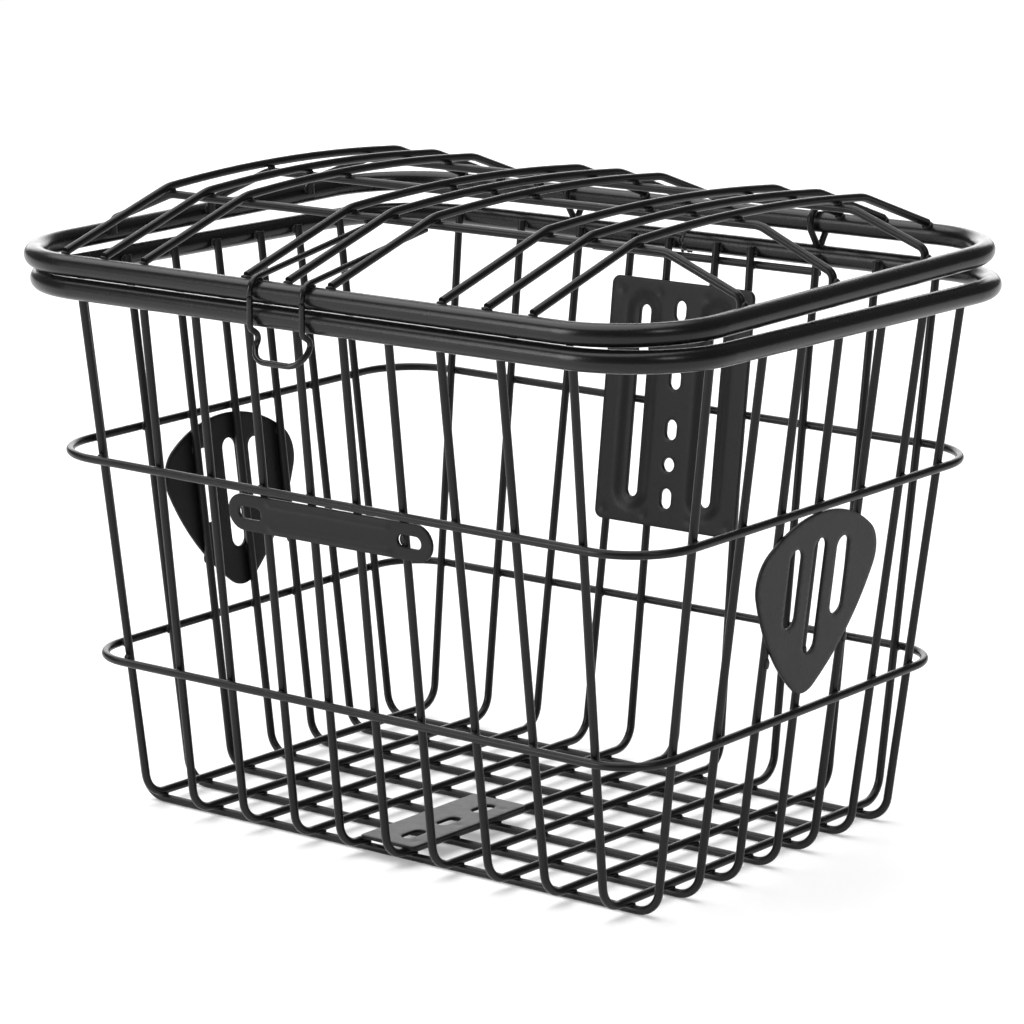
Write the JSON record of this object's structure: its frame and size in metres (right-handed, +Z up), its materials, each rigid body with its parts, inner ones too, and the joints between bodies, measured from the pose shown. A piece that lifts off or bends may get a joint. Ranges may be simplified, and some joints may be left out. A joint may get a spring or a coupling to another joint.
{
  "type": "handlebar basket",
  "caption": "Welded black steel-wire bicycle basket with a hinged domed wire lid, a spring-wire latch and slotted mounting plates at the back, floor and front.",
  "frame": {"origin": "on the floor under the middle of the basket", "axes": "+Z up, -Y the front with the latch, +Y the back towards the bicycle, +X the right as seen from the front"},
  "size_m": [0.3633, 0.284, 0.2773],
  "materials": {
    "rim_tube": "semi-gloss black powder coat",
    "wire": "semi-gloss black powder coat",
    "sheet": "satin black powder coat",
    "spring_wire": "gloss black coating"
  },
  "bodies": {
    "basket": {"basket_rim": "rim_tube", "hoop_upper": "wire", "hoop_lower": "wire", "fore_aft_wire_1": "wire", "fore_aft_wire_2": "wire", "fore_aft_wire_3": "wire", "fore_aft_wire_4": "wire", "fore_aft_wire_5": "wire", "fore_aft_wire_6": "wire", "fore_aft_wire_7": "wire", "fore_aft_wire_8": "wire", "fore_aft_wire_9": "wire", "fore_aft_wire_10": "wire", "side_wire_1": "wire", "side_wire_2": "wire", "side_wire_3": "wire", "side_wire_4": "wire", "side_wire_5": "wire", "side_wire_6": "wire", "side_wire_7": "wire", "rear_stiffener_wire": "wire", "rear_mount_plate": "sheet", "bottom_mount_plate": "sheet", "reflector_bracket": "sheet", "side_plate_right": "sheet", "side_plate_left": "sheet", "hinge_loop_right": "wire", "hinge_loop_left": "wire"},
    "lid": {"lid_rim": "rim_tube", "lid_rib_1": "wire", "lid_rib_2": "wire", "lid_rib_3": "wire", "lid_rib_4": "wire", "lid_rib_5": "wire", "lid_rib_6": "wire", "lid_rib_7": "wire", "lid_rib_8": "wire", "lid_rib_9": "wire", "lid_cross_wire_front": "wire", "lid_cross_wire_middle": "wire", "lid_cross_wire_rear": "wire", "latch_arms": "spring_wire"},
    "latch": {"latch_loop": "spring_wire"}
  },
  "joints": [
    {"name": "lid_hinge", "type": "hinge", "parent": "basket", "child": "lid", "pos_m": [0, 0.1335, 0.2512], "axis": [-1, 0, 0], "range_deg": [0, 180]},
    {"name": "latch_flex", "type": "hinge", "parent": "lid", "child": "latch", "pos_m": [-0.0106, -0.13995, 0.24361], "axis": [-1, 0, 0], "range_deg": [0, 25], "stiffness_Nm_per_rad": 0.5}
  ]
}
